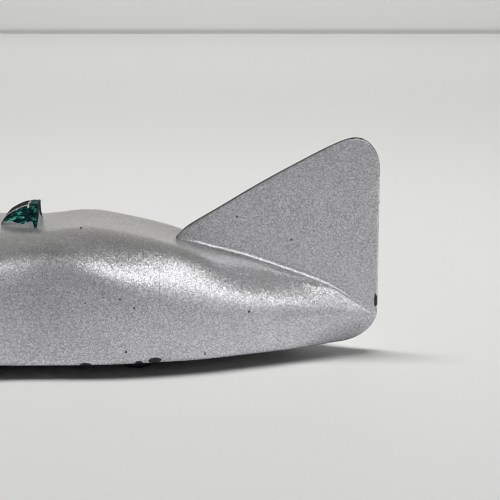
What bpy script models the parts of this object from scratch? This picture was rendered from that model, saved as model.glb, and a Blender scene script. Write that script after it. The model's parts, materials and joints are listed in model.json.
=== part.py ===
"""A die-cast metal model of a finned, streamlined land-speed record car.

The nose points along -X, the tail fin stands at +X, +Z is up and the floor is z = 0.
The car is one hollow casting closed from below by a pressed tin base plate.
Two wire axles lie in slots in the casting's lugs and carry four wheels with rubber tyres.
All sizes are in millimetres and become metres in the one place where meshes are made.
"""

import math

import bmesh
import bpy
import numpy as np
from mathutils import Matrix, Vector

MM = 0.001
WELD = 1e-6  # metres: grid points this close are one vertex

# ---------------------------------------------------------------- driving dimensions, mm
NOSE_X = -63.0
TAIL_X = 63.0
RIM_Z = 2.4  # the casting's lower edge above the floor
NOSE_TIP_Z = 9.0
NOSE_LENGTH = 26.0  # the stretch over which the nose rounds off
TAIL_CORNER_X = 55.5  # where the lower tail corner starts to round up
TAIL_CORNER_Z = 9.2
LEAST_HULL_HEIGHT = 0.5  # the hull's height where it runs out into the fin's trailing edge
EDGE_ROUND = 0.6  # the fin's trailing edge

# The hull's cross-section at stations along X, as control points from the deck to the rim.
# Each row: x, deck z, then (half width, z) of the deck's edge, the valley below it, the
# shoulder, the waist and the lower side, then the half width at the rim.
HULL = [
    (-63.0, 17.5, (7.0, 17.5), (12.0, 16.2), (15.0, 14.6), (15.8, 12.0), (15.8, 7.0), 15.6),
    (-50.0, 21.2, (7.5, 20.9), (12.2, 19.8), (16.4, 18.4), (18.0, 14.5), (17.9, 8.5), 17.0),
    (-36.0, 24.3, (7.8, 23.9), (13.0, 22.6), (17.5, 21.0), (19.1, 16.2), (18.9, 9.5), 17.9),
    (-24.0, 26.1, (8.6, 26.3), (13.3, 24.5), (17.5, 21.4), (19.0, 15.8), (18.8, 9.5), 18.1),
    (-14.0, 26.8, (9.1, 27.3), (13.1, 24.9), (16.6, 21.2), (18.1, 15.4), (18.4, 9.5), 18.0),
    (-4.0, 26.8, (9.1, 27.3), (12.8, 25.2), (15.7, 21.0), (16.7, 15.4), (17.6, 9.5), 17.9),
    (5.0, 27.5, (8.9, 28.3), (12.9, 25.3), (16.2, 21.3), (16.9, 15.6), (17.4, 9.5), 17.7),
    (11.0, 26.7, (8.8, 27.5), (13.0, 23.5), (16.1, 19.5), (16.9, 15.0), (17.2, 9.0), 17.2),
    (20.0, 24.35, (8.6, 25.6), (12.5, 21.1), (15.1, 16.8), (15.8, 12.8), (15.9, 8.2), 15.7),
    (28.0, 21.8, (7.2, 22.7), (11.3, 18.2), (13.5, 14.4), (14.0, 11.0), (14.1, 7.4), 13.9),
    (36.0, 19.9, (6.0, 18.2), (9.8, 14.8), (11.3, 11.8), (11.5, 9.0), (11.2, 6.4), 10.9),
    (44.0, 17.3, (4.4, 15.6), (7.4, 12.7), (8.3, 10.0), (8.4, 7.9), (8.1, 5.8), 7.8),
    (52.0, 14.8, (2.7, 13.1), (4.4, 10.8), (4.9, 8.9), (4.9, 7.3), (4.5, 5.5), 3.8),
    (58.0, 12.0, (1.2, 10.8), (2.0, 9.4), (2.4, 8.1), (2.4, 6.7), (1.8, 5.0), 1.0),
    (63.0, 7.8, (0.9, 7.7), (1.0, 7.2), (1.0, 6.6), (1.0, 5.8), (0.9, 4.6), 0.8),
]
DECK_FLAT = 0.6  # share of the deck's half width that stays level

# The fin's upper outline (x, z): it curls up from the deck, then runs straight to a round corner.
FIN_EDGE = [
    (22.2, 23.9),
    (23.5, 25.3),
    (25.2, 26.6),
    (29.1, 28.95),
    (37.1, 33.8),
    (49.0, 40.4),
    (54.9, 43.3),
    (58.1, 44.1),
    (61.0, 43.4),
]
FIN_CORNER_X = 58.1  # the fin's highest point, where the corner starts
FIN_CORNER_HEIGHT = 6.5
FIN_HALF_ROOT = 0.75
FIN_HALF_TOP = 0.5
FIN_FILLET = 1.5
FIN_START_X = 22.2
FIN_FULL_X = 27.0  # from here on the root fillet has its full radius

WALL = 1.6
CAVITY_X = (-47.0, 46.0)
CAVITY_NARROW = 0.2  # extra inset of the cavity's lower side, so that it draws from the mould

AXLE_X = {"front": -36.0, "rear": 15.0}
AXLE_Z = 6.2
AXLE_R = 0.9
AXLE_SLOT_CLEARANCE = 0.12
AXLE_HEAD_R = 1.5
AXLE_HEAD_LENGTH = 0.5
WHEEL_OUTER_Y = 12.7
TYRE_WIDTH = 4.2
TYRE_R = AXLE_Z
HUB_R = 4.2
HUB_FLANGE_R = 4.7
HUB_BORE_R = AXLE_R + 0.12
TYRE_ON_HUB_GAP = 0.06
HUB_DISH = 0.9  # how deep the axle's head sits in the hub's face

LUG_Y = (4.6, 6.6)
LUG_HALF_LENGTH = 3.2
PLATE_TOP_Z = 3.9
PLATE_THICKNESS = 0.6
PLATE_GAP = 0.35  # between the plate's edge and the casting
TOUCH_GAP = 0.1  # between pieces that bear on each other
POST_X = (-24.0, 29.0)
POST_R = 2.2
SPIGOT_R = 1.1
RIVET_HEAD_R = 1.9
RIVET_HEAD_DROP = 0.65
PANEL_X = (-18.0, 4.0)
PANEL_HALF_WIDTH = 9.0
PANEL_DROP = 0.5

# The windscreen's side profile (x, z) from its front foot over the pane to the level roof.
SCREEN_PROFILE = [(-12.3, 27.4), (-11.3, 28.5), (-9.9, 29.6), (-8.5, 30.4), (-7.1, 30.85)]
SCREEN_BACK_X = -5.2
SCREEN_ROOF_Z = 30.95
SCREEN_FOOT_Z = 26.8  # where its sides stop flaring
SCREEN_BURIED_Z = 26.4  # its underside, inside the deck's wall
SCREEN_PANE_HALF = 2.1
SCREEN_FOOT_HALF = (4.0, 4.9)  # at the front and at the back

INTAKE_HALF_WIDTH = 5.5
INTAKE_HALF_HEIGHT = 1.5
INTAKE_DEPTH = 2.6

BODY_ROWS = 13
FILLET_ROWS = 3
FIN_ROWS = 3
CREST_ROWS = 2
CAVITY_STATIONS = 26
ROUND_STEPS = 32


# ---------------------------------------------------------------- curves
def natural_spline(knots, values):
    """A smooth function of x through the points (knots, values)."""
    x = np.array(knots, float)
    y = np.array(values, float)
    n = len(x)
    step = np.diff(x)
    slope = np.diff(y) / step
    system = np.eye(n)
    right = np.zeros(n)
    for i in range(1, n - 1):
        system[i, i - 1 : i + 2] = step[i - 1], 2 * (step[i - 1] + step[i]), step[i]
        right[i] = 6 * (slope[i] - slope[i - 1])
    bend = np.linalg.solve(system, right)

    def at(position):
        i = int(np.clip(np.searchsorted(x, position) - 1, 0, n - 2))
        a, b = x[i + 1] - position, position - x[i]
        cubic = (bend[i] * a**3 + bend[i + 1] * b**3) / (6 * step[i])
        left = (y[i] / step[i] - bend[i] * step[i] / 6) * a
        return cubic + left + (y[i + 1] / step[i] - bend[i + 1] * step[i] / 6) * b

    return at


def b_spline(control, share):
    """A point on the clamped uniform cubic B-spline of some control points, share 0 to 1."""
    points = [np.array(p, float) for p in control]
    degree = 3
    spans = len(points) - degree
    knots = [0.0] * degree + [float(k) for k in range(spans + 1)] + [float(spans)] * degree
    t = min(max(share, 0.0), 1.0) * spans
    k = min(int(t), spans - 1) + degree
    d = [points[j + k - degree] for j in range(degree + 1)]
    for r in range(1, degree + 1):
        for j in range(degree, r - 1, -1):
            low = knots[j + k - degree]
            high = knots[j + 1 + k - r]
            a = (t - low) / (high - low)
            d[j] = (1 - a) * d[j - 1] + a * d[j]
    return d[degree]


HULL_ROWS = [(row[0], row[1], *[v for pair in row[2:7] for v in pair], row[7]) for row in HULL]
HULL_CURVES = [
    natural_spline([row[0] for row in HULL_ROWS], column) for column in list(zip(*HULL_ROWS))[1:]
]
FIN_LINE = natural_spline([p[0] for p in FIN_EDGE], [p[1] for p in FIN_EDGE])


def smooth_step(t):
    t = min(max(t, 0.0), 1.0)
    return t * t * (3 - 2 * t)


def quarter_round(share):
    """Grows from 0 to 1 as a quarter circle does."""
    share = min(max(share, 0.0), 1.0)
    return math.sqrt(max(0.0, 1 - (1 - share) ** 2))


# ---------------------------------------------------------------- the hull's cross-section
def nose_share(x):
    return quarter_round((x - NOSE_X) / NOSE_LENGTH)


def tail_share(x):
    """1 over the hull, falling to 0 as the trailing edge rounds off."""
    return quarter_round((TAIL_X - x) / EDGE_ROUND)


def rim_height(x):
    """The height of the casting's lower edge: level, but rising at the nose and the tail."""
    if x < NOSE_X + NOSE_LENGTH:
        return NOSE_TIP_Z + (RIM_Z - NOSE_TIP_Z) * nose_share(x)
    if x <= TAIL_CORNER_X:
        return RIM_Z
    run = (x - TAIL_CORNER_X) / (TAIL_X - TAIL_CORNER_X)
    return TAIL_CORNER_Z - (TAIL_CORNER_Z - RIM_Z) * math.sqrt(max(0.0, 1 - run * run))


def hull_control(x, inset=0.0):
    """Control points (y, z) of half a cross-section, from the top centre down to the rim."""
    values = [curve(x) for curve in HULL_CURVES]
    deck_z, pairs, rim_w = values[0], values[1:11], values[11]
    points = [(0.0, deck_z), (pairs[0] * DECK_FLAT, deck_z)]
    points += list(zip(pairs[0::2], pairs[1::2]))
    points.append((rim_w, RIM_Z))
    rim_z = rim_height(x)
    nose = nose_share(x)
    top_z = max(deck_z, rim_z + LEAST_HULL_HEIGHT)
    squeeze = (top_z - rim_z) / (deck_z - RIM_Z)
    shaped = []
    for y, z in points:
        if x < NOSE_X + NOSE_LENGTH:
            z = NOSE_TIP_Z + (z - NOSE_TIP_Z) * nose
        elif x > TAIL_CORNER_X:
            z = top_z - (deck_z - z) * squeeze
        shaped.append((max(y - inset, 0.0) * nose, z - inset))
    shaped[-1] = (shaped[-1][0], rim_z)
    return shaped


def fin_outline(x):
    """The fin's top edge over station x."""
    if x <= FIN_CORNER_X:
        return FIN_LINE(x)
    run = (x - FIN_CORNER_X) / (TAIL_X - FIN_CORNER_X)
    return FIN_LINE(FIN_CORNER_X) - FIN_CORNER_HEIGHT * (1 - math.sqrt(max(0.0, 1 - run * run)))


def share_at_width(control, width):
    """Where along the cross-section its half width first reaches width."""
    low, high = 0.0, 0.5
    for _ in range(30):
        middle = (low + high) / 2
        if b_spline(control, middle)[0] < width:
            low = middle
        else:
            high = middle
    return (low + high) / 2


def half_section(x):
    """Half the casting's outline at station x, from the rim up to the centre plane."""
    control = hull_control(x)
    growth = smooth_step((x - FIN_START_X) / (FIN_FULL_X - FIN_START_X))
    has_fin = x > FIN_START_X + 1e-6
    fillet = FIN_FILLET * growth
    root = FIN_HALF_ROOT * quarter_round((x - FIN_START_X) / 3.0) if has_fin else 0.0
    deck_w = control[2][0]
    fillet = min(fillet, 0.45 * deck_w)
    start = share_at_width(control, root + fillet) if has_fin else 0.0
    outline = []
    for i in range(BODY_ROWS + 1):
        outline.append(tuple(b_spline(control, 1 - (1 - start) * i / BODY_ROWS)))
    foot_y, foot_z = outline[-1]
    crest = max(fin_outline(x), foot_z) if has_fin else foot_z
    top_half = min(FIN_HALF_TOP, root)
    fillet_z = min(fillet, 0.5 * (crest - foot_z))
    for i in range(1, FILLET_ROWS + 1):
        angle = math.pi / 2 * i / FILLET_ROWS
        y = root + (foot_y - root) * (1 - math.sin(angle))
        outline.append((y, foot_z + fillet_z * (1 - math.cos(angle))))
    low = foot_z + fillet_z
    high = max(crest - top_half, low)
    for i in range(1, FIN_ROWS + 1):
        share = i / FIN_ROWS
        outline.append((root + (top_half - root) * share, low + (high - low) * share))
    for i in range(1, CREST_ROWS + 1):
        angle = math.pi / 2 * i / CREST_ROWS
        outline.append((top_half * math.cos(angle), high + (crest - high) * math.sin(angle)))
    if not has_fin:
        outline[BODY_ROWS + 1 :] = [(0.0, foot_z)] * (len(outline) - BODY_ROWS - 1)
    edge = tail_share(x)
    return [(y * edge, z) for y, z in outline]


# ---------------------------------------------------------------- mesh helpers
def material(name, colour, roughness, metallic):
    made = bpy.data.materials.new(name)
    made.use_nodes = True
    shader = made.node_tree.nodes["Principled BSDF"]
    shader.inputs["Base Color"].default_value = (*colour, 1.0)
    shader.inputs["Roughness"].default_value = roughness
    shader.inputs["Metallic"].default_value = metallic
    made.diffuse_color = (*colour, 1.0)
    return made


def add_object(name, bm, look=None, smooth_angle=35.0):
    """Turns a bmesh in millimetres into an object in metres."""
    bmesh.ops.scale(bm, vec=(MM, MM, MM), verts=bm.verts)
    bmesh.ops.remove_doubles(bm, verts=bm.verts, dist=WELD)
    bmesh.ops.dissolve_degenerate(bm, dist=WELD / 10, edges=bm.edges)
    bmesh.ops.recalc_face_normals(bm, faces=bm.faces)
    mesh = bpy.data.meshes.new(name)
    bm.to_mesh(mesh)
    bm.free()
    mesh.shade_smooth()
    mesh.set_sharp_from_angle(angle=math.radians(smooth_angle))
    if look:
        mesh.materials.append(look)
    made = bpy.data.objects.new(name, mesh)
    bpy.context.scene.collection.objects.link(made)
    return made


def as_helper(obj):
    """A cutter or a lump that a Boolean uses, and no piece of its own."""
    obj.hide_render = True
    obj.display_type = "WIRE"
    return obj


def combine(obj, other, operation):
    modifier = obj.modifiers.new(f"{operation.lower()} {other.name}", "BOOLEAN")
    modifier.operation = operation
    modifier.object = other
    modifier.solver = "EXACT"


def box_bmesh(low, high):
    bm = bmesh.new()
    size = Vector(high) - Vector(low)
    centre = (Vector(high) + Vector(low)) / 2
    matrix = Matrix.Translation(centre) @ Matrix.Diagonal((*size, 1))
    bmesh.ops.create_cube(bm, size=1.0, matrix=matrix)
    return bm


def lathe_bmesh(profile, axis_x, axis_z, steps=ROUND_STEPS):
    """Turns a closed (y, radius) profile about the line x = axis_x, z = axis_z."""
    bm = bmesh.new()
    rings = []
    for i in range(steps):
        angle = 2 * math.pi * i / steps
        ring = [
            bm.verts.new((axis_x + r * math.cos(angle), y, axis_z + r * math.sin(angle)))
            for y, r in profile
        ]
        rings.append(ring)
    count = len(profile)
    for i in range(steps):
        here, there = rings[i], rings[(i + 1) % steps]
        for j in range(count):
            k = (j + 1) % count
            bm.faces.new((here[j], here[k], there[k], there[j]))
    return bm


def post_bmesh(profile, centre_x, steps=20):
    """Turns an open (radius, z) profile, which starts and ends on the axis, about a vertical line."""
    bm = bmesh.new()
    rings = []
    for r, z in profile:
        rings.append(
            [
                bm.verts.new(
                    (
                        centre_x + r * math.cos(2 * math.pi * i / steps),
                        r * math.sin(2 * math.pi * i / steps),
                        z,
                    )
                )
                for i in range(steps)
            ]
        )
    for low, high in zip(rings[:-1], rings[1:]):
        for i in range(steps):
            j = (i + 1) % steps
            bm.faces.new((low[i], low[j], high[j], high[i]))
    return bm


def loft_bmesh(sections):
    """Closed skin through half sections (x, [(y, z), ...]) mirrored in the centre plane.

    Each half section runs from the lower edge to the centre plane at the top. The lower edges
    are joined by a flat bottom, and sections that shrink to a line or a point close the ends.
    """
    bm = bmesh.new()
    rings = []
    for x, outline in sections:
        bottom = [(0.0, outline[0][1])]
        right = bottom + list(outline)
        left = [(-y, z) for y, z in reversed(right)][1:-1]
        rings.append([bm.verts.new((x, y, z)) for y, z in right + left])
    count = len(rings[0])
    for near, far in zip(rings[:-1], rings[1:]):
        for j in range(count):
            k = (j + 1) % count
            bm.faces.new((near[j], near[k], far[k], far[j]))
    for end in (rings[0], rings[-1]):
        spread = max((v.co - end[0].co).length for v in end)
        thin = max(abs(v.co.y) for v in end) < 1e-6
        if spread > 1e-6 and not thin:
            bm.faces.new(end)
    return bm


def spaced(low, high, count):
    """Evenly spaced positions from low to high."""
    return [low + (high - low) * i / count for i in range(count + 1)]


# ---------------------------------------------------------------- the casting
def hull_stations():
    """Stations along X: close at the round nose, at the fin's tip and at the tail's edges."""
    nose = [NOSE_X + NOSE_LENGTH * (1 - math.cos(math.pi / 2 * i / 12)) for i in range(12)]
    middle = spaced(NOSE_X + NOSE_LENGTH, FIN_START_X, 20)
    fin_tip = [FIN_START_X + d for d in (0.25, 0.7, 1.4, 2.4, 3.6)]
    rear = spaced(FIN_FULL_X, FIN_CORNER_X, 14)
    corner = [FIN_CORNER_X + (TAIL_X - FIN_CORNER_X) * math.sin(math.pi / 2 * i / 8) for i in range(1, 8)]
    edge = [TAIL_X - EDGE_ROUND * (1 - math.sin(math.pi / 2 * i / 3)) for i in range(4)]
    corner = [x for x in corner if x < edge[0] - 0.1]
    return sorted(nose + middle + fin_tip + rear + corner + edge)


def inner_section(x):
    """The cavity's half outline at station x, open below the rim."""
    control = hull_control(x, inset=WALL)
    control[-1] = (control[-1][0] - CAVITY_NARROW, control[-1][1])
    outline = [tuple(b_spline(control, 1 - i / 10)) for i in range(11)]
    return [(outline[0][0], RIM_Z - 3.0)] + outline


def plate_half_width(x):
    """The base plate's half width at x: the cavity's lower half width less the gap."""
    return b_spline(hull_control(x, inset=WALL), 0.97)[0] - CAVITY_NARROW - PLATE_GAP


def make_windscreen():
    """A cast lug: a narrow raked pane, a level roof, flared sides and an upright back."""
    profile = SCREEN_PROFILE + [(SCREEN_BACK_X, SCREEN_ROOF_Z)]
    front = profile[0][0]
    bm = bmesh.new()
    rings = []
    for x, z in profile:
        share = (x - front) / (SCREEN_BACK_X - front)
        foot = SCREEN_FOOT_HALF[0] + (SCREEN_FOOT_HALF[1] - SCREEN_FOOT_HALF[0]) * share
        edge_y, edge_z = SCREEN_PANE_HALF + 0.25, z - 0.25
        side = [(foot, SCREEN_BURIED_Z)]
        for drop in (1.0, 0.9, 0.7, 0.4, 0.0):
            flare = 0.35 * drop + 0.65 * drop**4
            side.append((edge_y + (foot - edge_y) * flare, edge_z + (SCREEN_FOOT_Z - edge_z) * drop))
        side.append((SCREEN_PANE_HALF, z))
        outline = side + [(-y, height) for y, height in reversed(side)]
        rings.append([bm.verts.new((x, y, height)) for y, height in outline])
    count = len(rings[0])
    for near, far in zip(rings[:-1], rings[1:]):
        for j in range(count):
            k = (j + 1) % count
            bm.faces.new((near[j], near[k], far[k], far[j]))
    bm.faces.new(rings[0])
    bm.faces.new(rings[-1])
    return as_helper(add_object("windscreen_lump", bm))


def make_intake():
    """A flattened slot across the nose."""
    bm = bmesh.new()
    steps = 20
    front_x, back_x = NOSE_X - 2.0, NOSE_X + INTAKE_DEPTH
    rings = []
    for x, share in ((front_x, 1.0), (back_x - 0.8, 1.0), (back_x, 0.75)):
        ring = []
        for i in range(steps):
            angle = 2 * math.pi * i / steps
            side = math.copysign(INTAKE_HALF_WIDTH - INTAKE_HALF_HEIGHT, math.cos(angle))
            y = side + INTAKE_HALF_HEIGHT * math.cos(angle)
            z = NOSE_TIP_Z + 0.6 + INTAKE_HALF_HEIGHT * math.sin(angle)
            ring.append(bm.verts.new((x, y * share, NOSE_TIP_Z + (z - NOSE_TIP_Z) * share)))
        rings.append(ring)
    for near, far in zip(rings[:-1], rings[1:]):
        for i in range(steps):
            j = (i + 1) % steps
            bm.faces.new((near[i], near[j], far[j], far[i]))
    bm.faces.new(rings[0])
    bm.faces.new(rings[-1])
    return as_helper(add_object("intake_cutter", bm))


def roof_middle(x, width):
    """The height half way through the roof's wall, so far out from the centre plane."""
    control = hull_control(x)
    return b_spline(control, share_at_width(control, width))[1] - WALL / 2


def make_lug(end, side):
    """A cast lug with an open slot for an axle, hanging from the roof."""
    x = AXLE_X[end]
    low_y, high_y = sorted((side * LUG_Y[0], side * LUG_Y[1]))
    front_x, back_x = x - LUG_HALF_LENGTH, x + LUG_HALF_LENGTH
    slot = AXLE_R + AXLE_SLOT_CLEARANCE
    bottom = PLATE_TOP_Z + TOUCH_GAP
    outline = [
        (front_x, roof_middle(front_x, LUG_Y[1])),
        (front_x, bottom),
        (x - slot, bottom),
    ]
    for i in range(9):
        angle = math.pi - math.pi * i / 8
        outline.append((x + slot * math.cos(angle), AXLE_Z + slot * math.sin(angle)))
    outline += [
        (x + slot, bottom),
        (back_x, bottom),
        (back_x, roof_middle(back_x, LUG_Y[1])),
    ]
    bm = bmesh.new()
    near = [bm.verts.new((px, low_y, pz)) for px, pz in outline]
    far = [bm.verts.new((px, high_y, pz)) for px, pz in outline]
    bm.faces.new(near)
    bm.faces.new(far[::-1])
    for i in range(len(outline)):
        j = (i + 1) % len(outline)
        bm.faces.new((near[i], far[i], far[j], near[j]))
    name = f"lug_{end}_{'right' if side > 0 else 'left'}"
    return as_helper(add_object(name, bm))


def make_post(index, x):
    """A cast post whose end is peened over the base plate."""
    shoulder = PLATE_TOP_Z + TOUCH_GAP
    under = PLATE_TOP_Z - PLATE_THICKNESS - TOUCH_GAP
    tip = under - RIVET_HEAD_DROP
    roof = hull_control(x)[0][1] - WALL + 0.5
    profile = [
        (0.0, tip),
        (RIVET_HEAD_R * 0.7, tip + 0.08),
        (RIVET_HEAD_R, tip + 0.4),
        (RIVET_HEAD_R, under),
        (SPIGOT_R, under),
        (SPIGOT_R, shoulder),
        (POST_R, shoulder),
        (POST_R, roof),
        (0.0, roof),
    ]
    return as_helper(add_object(f"post_{index}", post_bmesh(profile, x)))


def make_casting(paint):
    stations = hull_stations()
    casting = add_object(
        "body_casting", loft_bmesh([(x, half_section(x)) for x in stations]), paint
    )
    inner = spaced(*CAVITY_X, CAVITY_STATIONS)
    cavity = as_helper(
        add_object("cavity_cutter", loft_bmesh([(x, inner_section(x)) for x in inner]))
    )
    combine(casting, cavity, "DIFFERENCE")
    for end in AXLE_X:
        for side in (-1, 1):
            combine(casting, make_lug(end, side), "UNION")
    for index, x in enumerate(POST_X):
        combine(casting, make_post(index, x), "UNION")
    combine(casting, make_windscreen(), "UNION")
    combine(casting, make_intake(), "DIFFERENCE")
    return casting


# ---------------------------------------------------------------- the base plate
def make_base_plate(paint):
    """A flat tin plate with four wheel slots, a pressed panel and four ears under the axles."""
    bm = bmesh.new()
    xs = spaced(CAVITY_X[0] + PLATE_GAP + 0.6, CAVITY_X[1] - PLATE_GAP - 0.2, 30)
    edge = [(x, plate_half_width(x)) for x in xs]
    outline = edge + [(x, -y) for x, y in reversed(edge)]
    low_z = PLATE_TOP_Z - PLATE_THICKNESS
    low = [bm.verts.new((x, y, low_z)) for x, y in outline]
    high = [bm.verts.new((x, y, PLATE_TOP_Z)) for x, y in outline]
    bm.faces.new(low[::-1])
    bm.faces.new(high)
    for i in range(len(outline)):
        j = (i + 1) % len(outline)
        bm.faces.new((low[i], low[j], high[j], high[i]))
    plate = add_object("base_plate", bm, paint)

    wheel_inner_y = WHEEL_OUTER_Y - TYRE_WIDTH
    for end, x in AXLE_X.items():
        for side in (-1, 1):
            name = f"{end}_{'right' if side > 0 else 'left'}"
            low_y, high_y = sorted((side * (wheel_inner_y - 0.5), side * (WHEEL_OUTER_Y + 0.3)))
            reach = TYRE_R + 0.4
            slot = box_bmesh((x - reach, low_y, low_z - 1), (x + reach, high_y, PLATE_TOP_Z + 1))
            combine(plate, as_helper(add_object(f"slot_{name}", slot)), "DIFFERENCE")
    for index, x in enumerate(POST_X):
        radius = SPIGOT_R + TOUCH_GAP
        hole = post_bmesh(
            [(0.0, low_z - 1), (radius, low_z - 1), (radius, PLATE_TOP_Z + 1), (0.0, PLATE_TOP_Z + 1)], x
        )
        combine(plate, as_helper(add_object(f"hole_{index}", hole)), "DIFFERENCE")

    slope = PANEL_DROP * 1.2
    panel = pyramid_bmesh(PANEL_X, PANEL_HALF_WIDTH, low_z - PANEL_DROP, low_z + 0.2, slope)
    combine(plate, as_helper(add_object("panel_lump", panel)), "UNION")
    hollow = pyramid_bmesh(
        (PANEL_X[0] + 0.5, PANEL_X[1] - 0.5),
        PANEL_HALF_WIDTH - 0.5,
        PLATE_TOP_Z - PANEL_DROP,
        PLATE_TOP_Z + 0.2,
        slope,
    )
    combine(plate, as_helper(add_object("panel_hollow", hollow)), "DIFFERENCE")

    ear_top = AXLE_Z - AXLE_R - TOUCH_GAP
    for end, x in AXLE_X.items():
        for side in (-1, 1):
            name = f"ear_{end}_{'right' if side > 0 else 'left'}"
            low_y, high_y = sorted((side * (LUG_Y[0] - 0.9), side * (LUG_Y[0] - 0.3)))
            ear = box_bmesh((x - 1.6, low_y, PLATE_TOP_Z - 0.3), (x + 1.6, high_y, ear_top))
            combine(plate, as_helper(add_object(name, ear)), "UNION")
    return plate


def pyramid_bmesh(x_range, half_width, low_z, high_z, slope):
    """A flat block whose sides lean outwards by slope from its low face to its high face."""
    bm = bmesh.new()
    low = [
        bm.verts.new((x, y, low_z))
        for x, y in (
            (x_range[0], -half_width),
            (x_range[1], -half_width),
            (x_range[1], half_width),
            (x_range[0], half_width),
        )
    ]
    high = []
    middle = sum(x_range) / 2
    for vert in low:
        dx = math.copysign(slope, vert.co.x - middle)
        dy = math.copysign(slope, vert.co.y)
        high.append(bm.verts.new((vert.co.x + dx, vert.co.y + dy, high_z)))
    bm.faces.new(low[::-1])
    bm.faces.new(high)
    for i in range(4):
        j = (i + 1) % 4
        bm.faces.new((low[i], low[j], high[j], high[i]))
    return bm


# ---------------------------------------------------------------- axles and wheels
def make_axle(end, steel):
    """A wire axle with both ends hammered into round heads."""
    head_in = WHEEL_OUTER_Y - HUB_DISH + TOUCH_GAP
    head_out = head_in + AXLE_HEAD_LENGTH
    half = [
        (head_in, AXLE_R),
        (head_in, AXLE_HEAD_R),
        (head_in + 0.25, AXLE_HEAD_R),
        (head_out, AXLE_HEAD_R * 0.6),
        (head_out, 0.0),
    ]
    profile = [(-y, r) for y, r in reversed(half)] + half
    return add_object(f"{end}_axle", lathe_bmesh(profile, AXLE_X[end], AXLE_Z, 24), steel)


def wheel_profile(side, points):
    """A closed (y, radius) profile, given by distance in from the wheel's outer face."""
    return [(side * (WHEEL_OUTER_Y - inward), r) for inward, r in points]


def make_wheel(end, side, zinc, rubber):
    name = f"{end}_{'right' if side > 0 else 'left'}"
    inner = TYRE_WIDTH - 0.3
    hub = [
        (HUB_DISH, HUB_BORE_R),
        (HUB_DISH, 2.2),
        (0.3, 3.5),
        (0.3, HUB_FLANGE_R),
        (0.8, HUB_FLANGE_R),
        (1.0, HUB_R),
        (TYRE_WIDTH - 1.0, HUB_R),
        (TYRE_WIDTH - 0.8, HUB_FLANGE_R),
        (inner, HUB_FLANGE_R),
        (inner, 3.5),
        (inner - 0.5, 2.2),
        (inner - 0.5, HUB_BORE_R),
    ]
    gap = TYRE_ON_HUB_GAP
    tyre = [
        (0.0, HUB_FLANGE_R + gap),
        (0.1, TYRE_R - 0.7),
        (0.8, TYRE_R),
        (TYRE_WIDTH - 0.8, TYRE_R),
        (TYRE_WIDTH - 0.1, TYRE_R - 0.7),
        (TYRE_WIDTH, HUB_FLANGE_R + gap),
        (TYRE_WIDTH - 0.8 - gap, HUB_FLANGE_R + gap),
        (TYRE_WIDTH - 1.0 - gap, HUB_R + gap),
        (1.0 + gap, HUB_R + gap),
        (0.8 + gap, HUB_FLANGE_R + gap),
    ]
    x = AXLE_X[end]
    add_object(f"wheel_hub_{name}", lathe_bmesh(wheel_profile(side, hub), x, AXLE_Z), zinc)
    add_object(f"tyre_{name}", lathe_bmesh(wheel_profile(side, tyre), x, AXLE_Z), rubber)


# ---------------------------------------------------------------- the whole car
def main():
    for obj in list(bpy.data.objects):
        bpy.data.objects.remove(obj, do_unlink=True)
    silver = material("silver_paint", (0.50, 0.50, 0.53), 0.42, 0.85)
    black = material("black_tin", (0.02, 0.02, 0.022), 0.45, 0.3)
    steel = material("axle_steel", (0.45, 0.44, 0.42), 0.35, 1.0)
    zinc = material("hub_zinc", (0.40, 0.40, 0.42), 0.45, 0.9)
    rubber = material("black_rubber", (0.03, 0.03, 0.03), 0.8, 0.0)
    make_casting(silver)
    make_base_plate(black)
    for end in AXLE_X:
        make_axle(end, steel)
        for side in (-1, 1):
            make_wheel(end, side, zinc, rubber)


main()
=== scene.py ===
"""The looks of a die-cast model record car: fine meshes, procedural materials, light and camera.

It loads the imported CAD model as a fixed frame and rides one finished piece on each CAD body.
Lengths are in millimetres in the shape code and become metres where a mesh is made.
The nose points along -X, the tail fin stands at +X, +Z is up and the floor is z = 0.
"""

import json
import math

import bmesh
import bpy
import numpy as np
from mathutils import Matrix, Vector, noise

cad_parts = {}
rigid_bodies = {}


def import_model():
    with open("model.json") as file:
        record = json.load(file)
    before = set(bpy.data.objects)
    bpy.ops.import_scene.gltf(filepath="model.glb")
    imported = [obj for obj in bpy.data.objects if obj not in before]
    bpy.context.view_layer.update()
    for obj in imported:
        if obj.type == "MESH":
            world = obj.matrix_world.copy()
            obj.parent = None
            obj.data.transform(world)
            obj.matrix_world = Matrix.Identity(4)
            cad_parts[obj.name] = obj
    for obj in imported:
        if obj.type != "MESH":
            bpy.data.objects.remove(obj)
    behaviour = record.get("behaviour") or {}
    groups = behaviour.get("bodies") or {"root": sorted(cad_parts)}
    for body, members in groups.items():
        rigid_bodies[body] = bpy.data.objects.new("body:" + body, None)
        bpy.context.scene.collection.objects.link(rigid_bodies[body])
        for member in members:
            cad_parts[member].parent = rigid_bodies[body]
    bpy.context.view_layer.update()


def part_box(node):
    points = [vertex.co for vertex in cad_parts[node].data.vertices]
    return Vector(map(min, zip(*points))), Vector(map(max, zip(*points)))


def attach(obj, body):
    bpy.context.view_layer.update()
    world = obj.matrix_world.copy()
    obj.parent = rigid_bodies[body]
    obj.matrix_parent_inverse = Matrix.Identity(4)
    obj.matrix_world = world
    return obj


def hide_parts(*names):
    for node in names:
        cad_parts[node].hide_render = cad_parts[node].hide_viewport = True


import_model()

MM = 0.001

# ---------------------------------------------------------------- the camera
VIEW_ELEVATION = math.radians(14.0)
VIEW_DISTANCE = 0.320
VIEW_TARGET = Vector((0.0371, 0.0, 0.02108))
LENS_MM = 114.27
SENSOR_MM = 36.0
PANEL_DISTANCE = 0.6  # from the car to most lights, in metres

# ---------------------------------------------------------------- the casting's shape, mm
NOSE_X = -63.0
TAIL_X = 63.0
RIM_Z = 2.4
NOSE_TIP_Z = 9.0
NOSE_LENGTH = 26.0
TAIL_CORNER_X = 55.5
TAIL_CORNER_Z = 9.2
LEAST_HULL_HEIGHT = 0.5
EDGE_ROUND = 0.6
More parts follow.
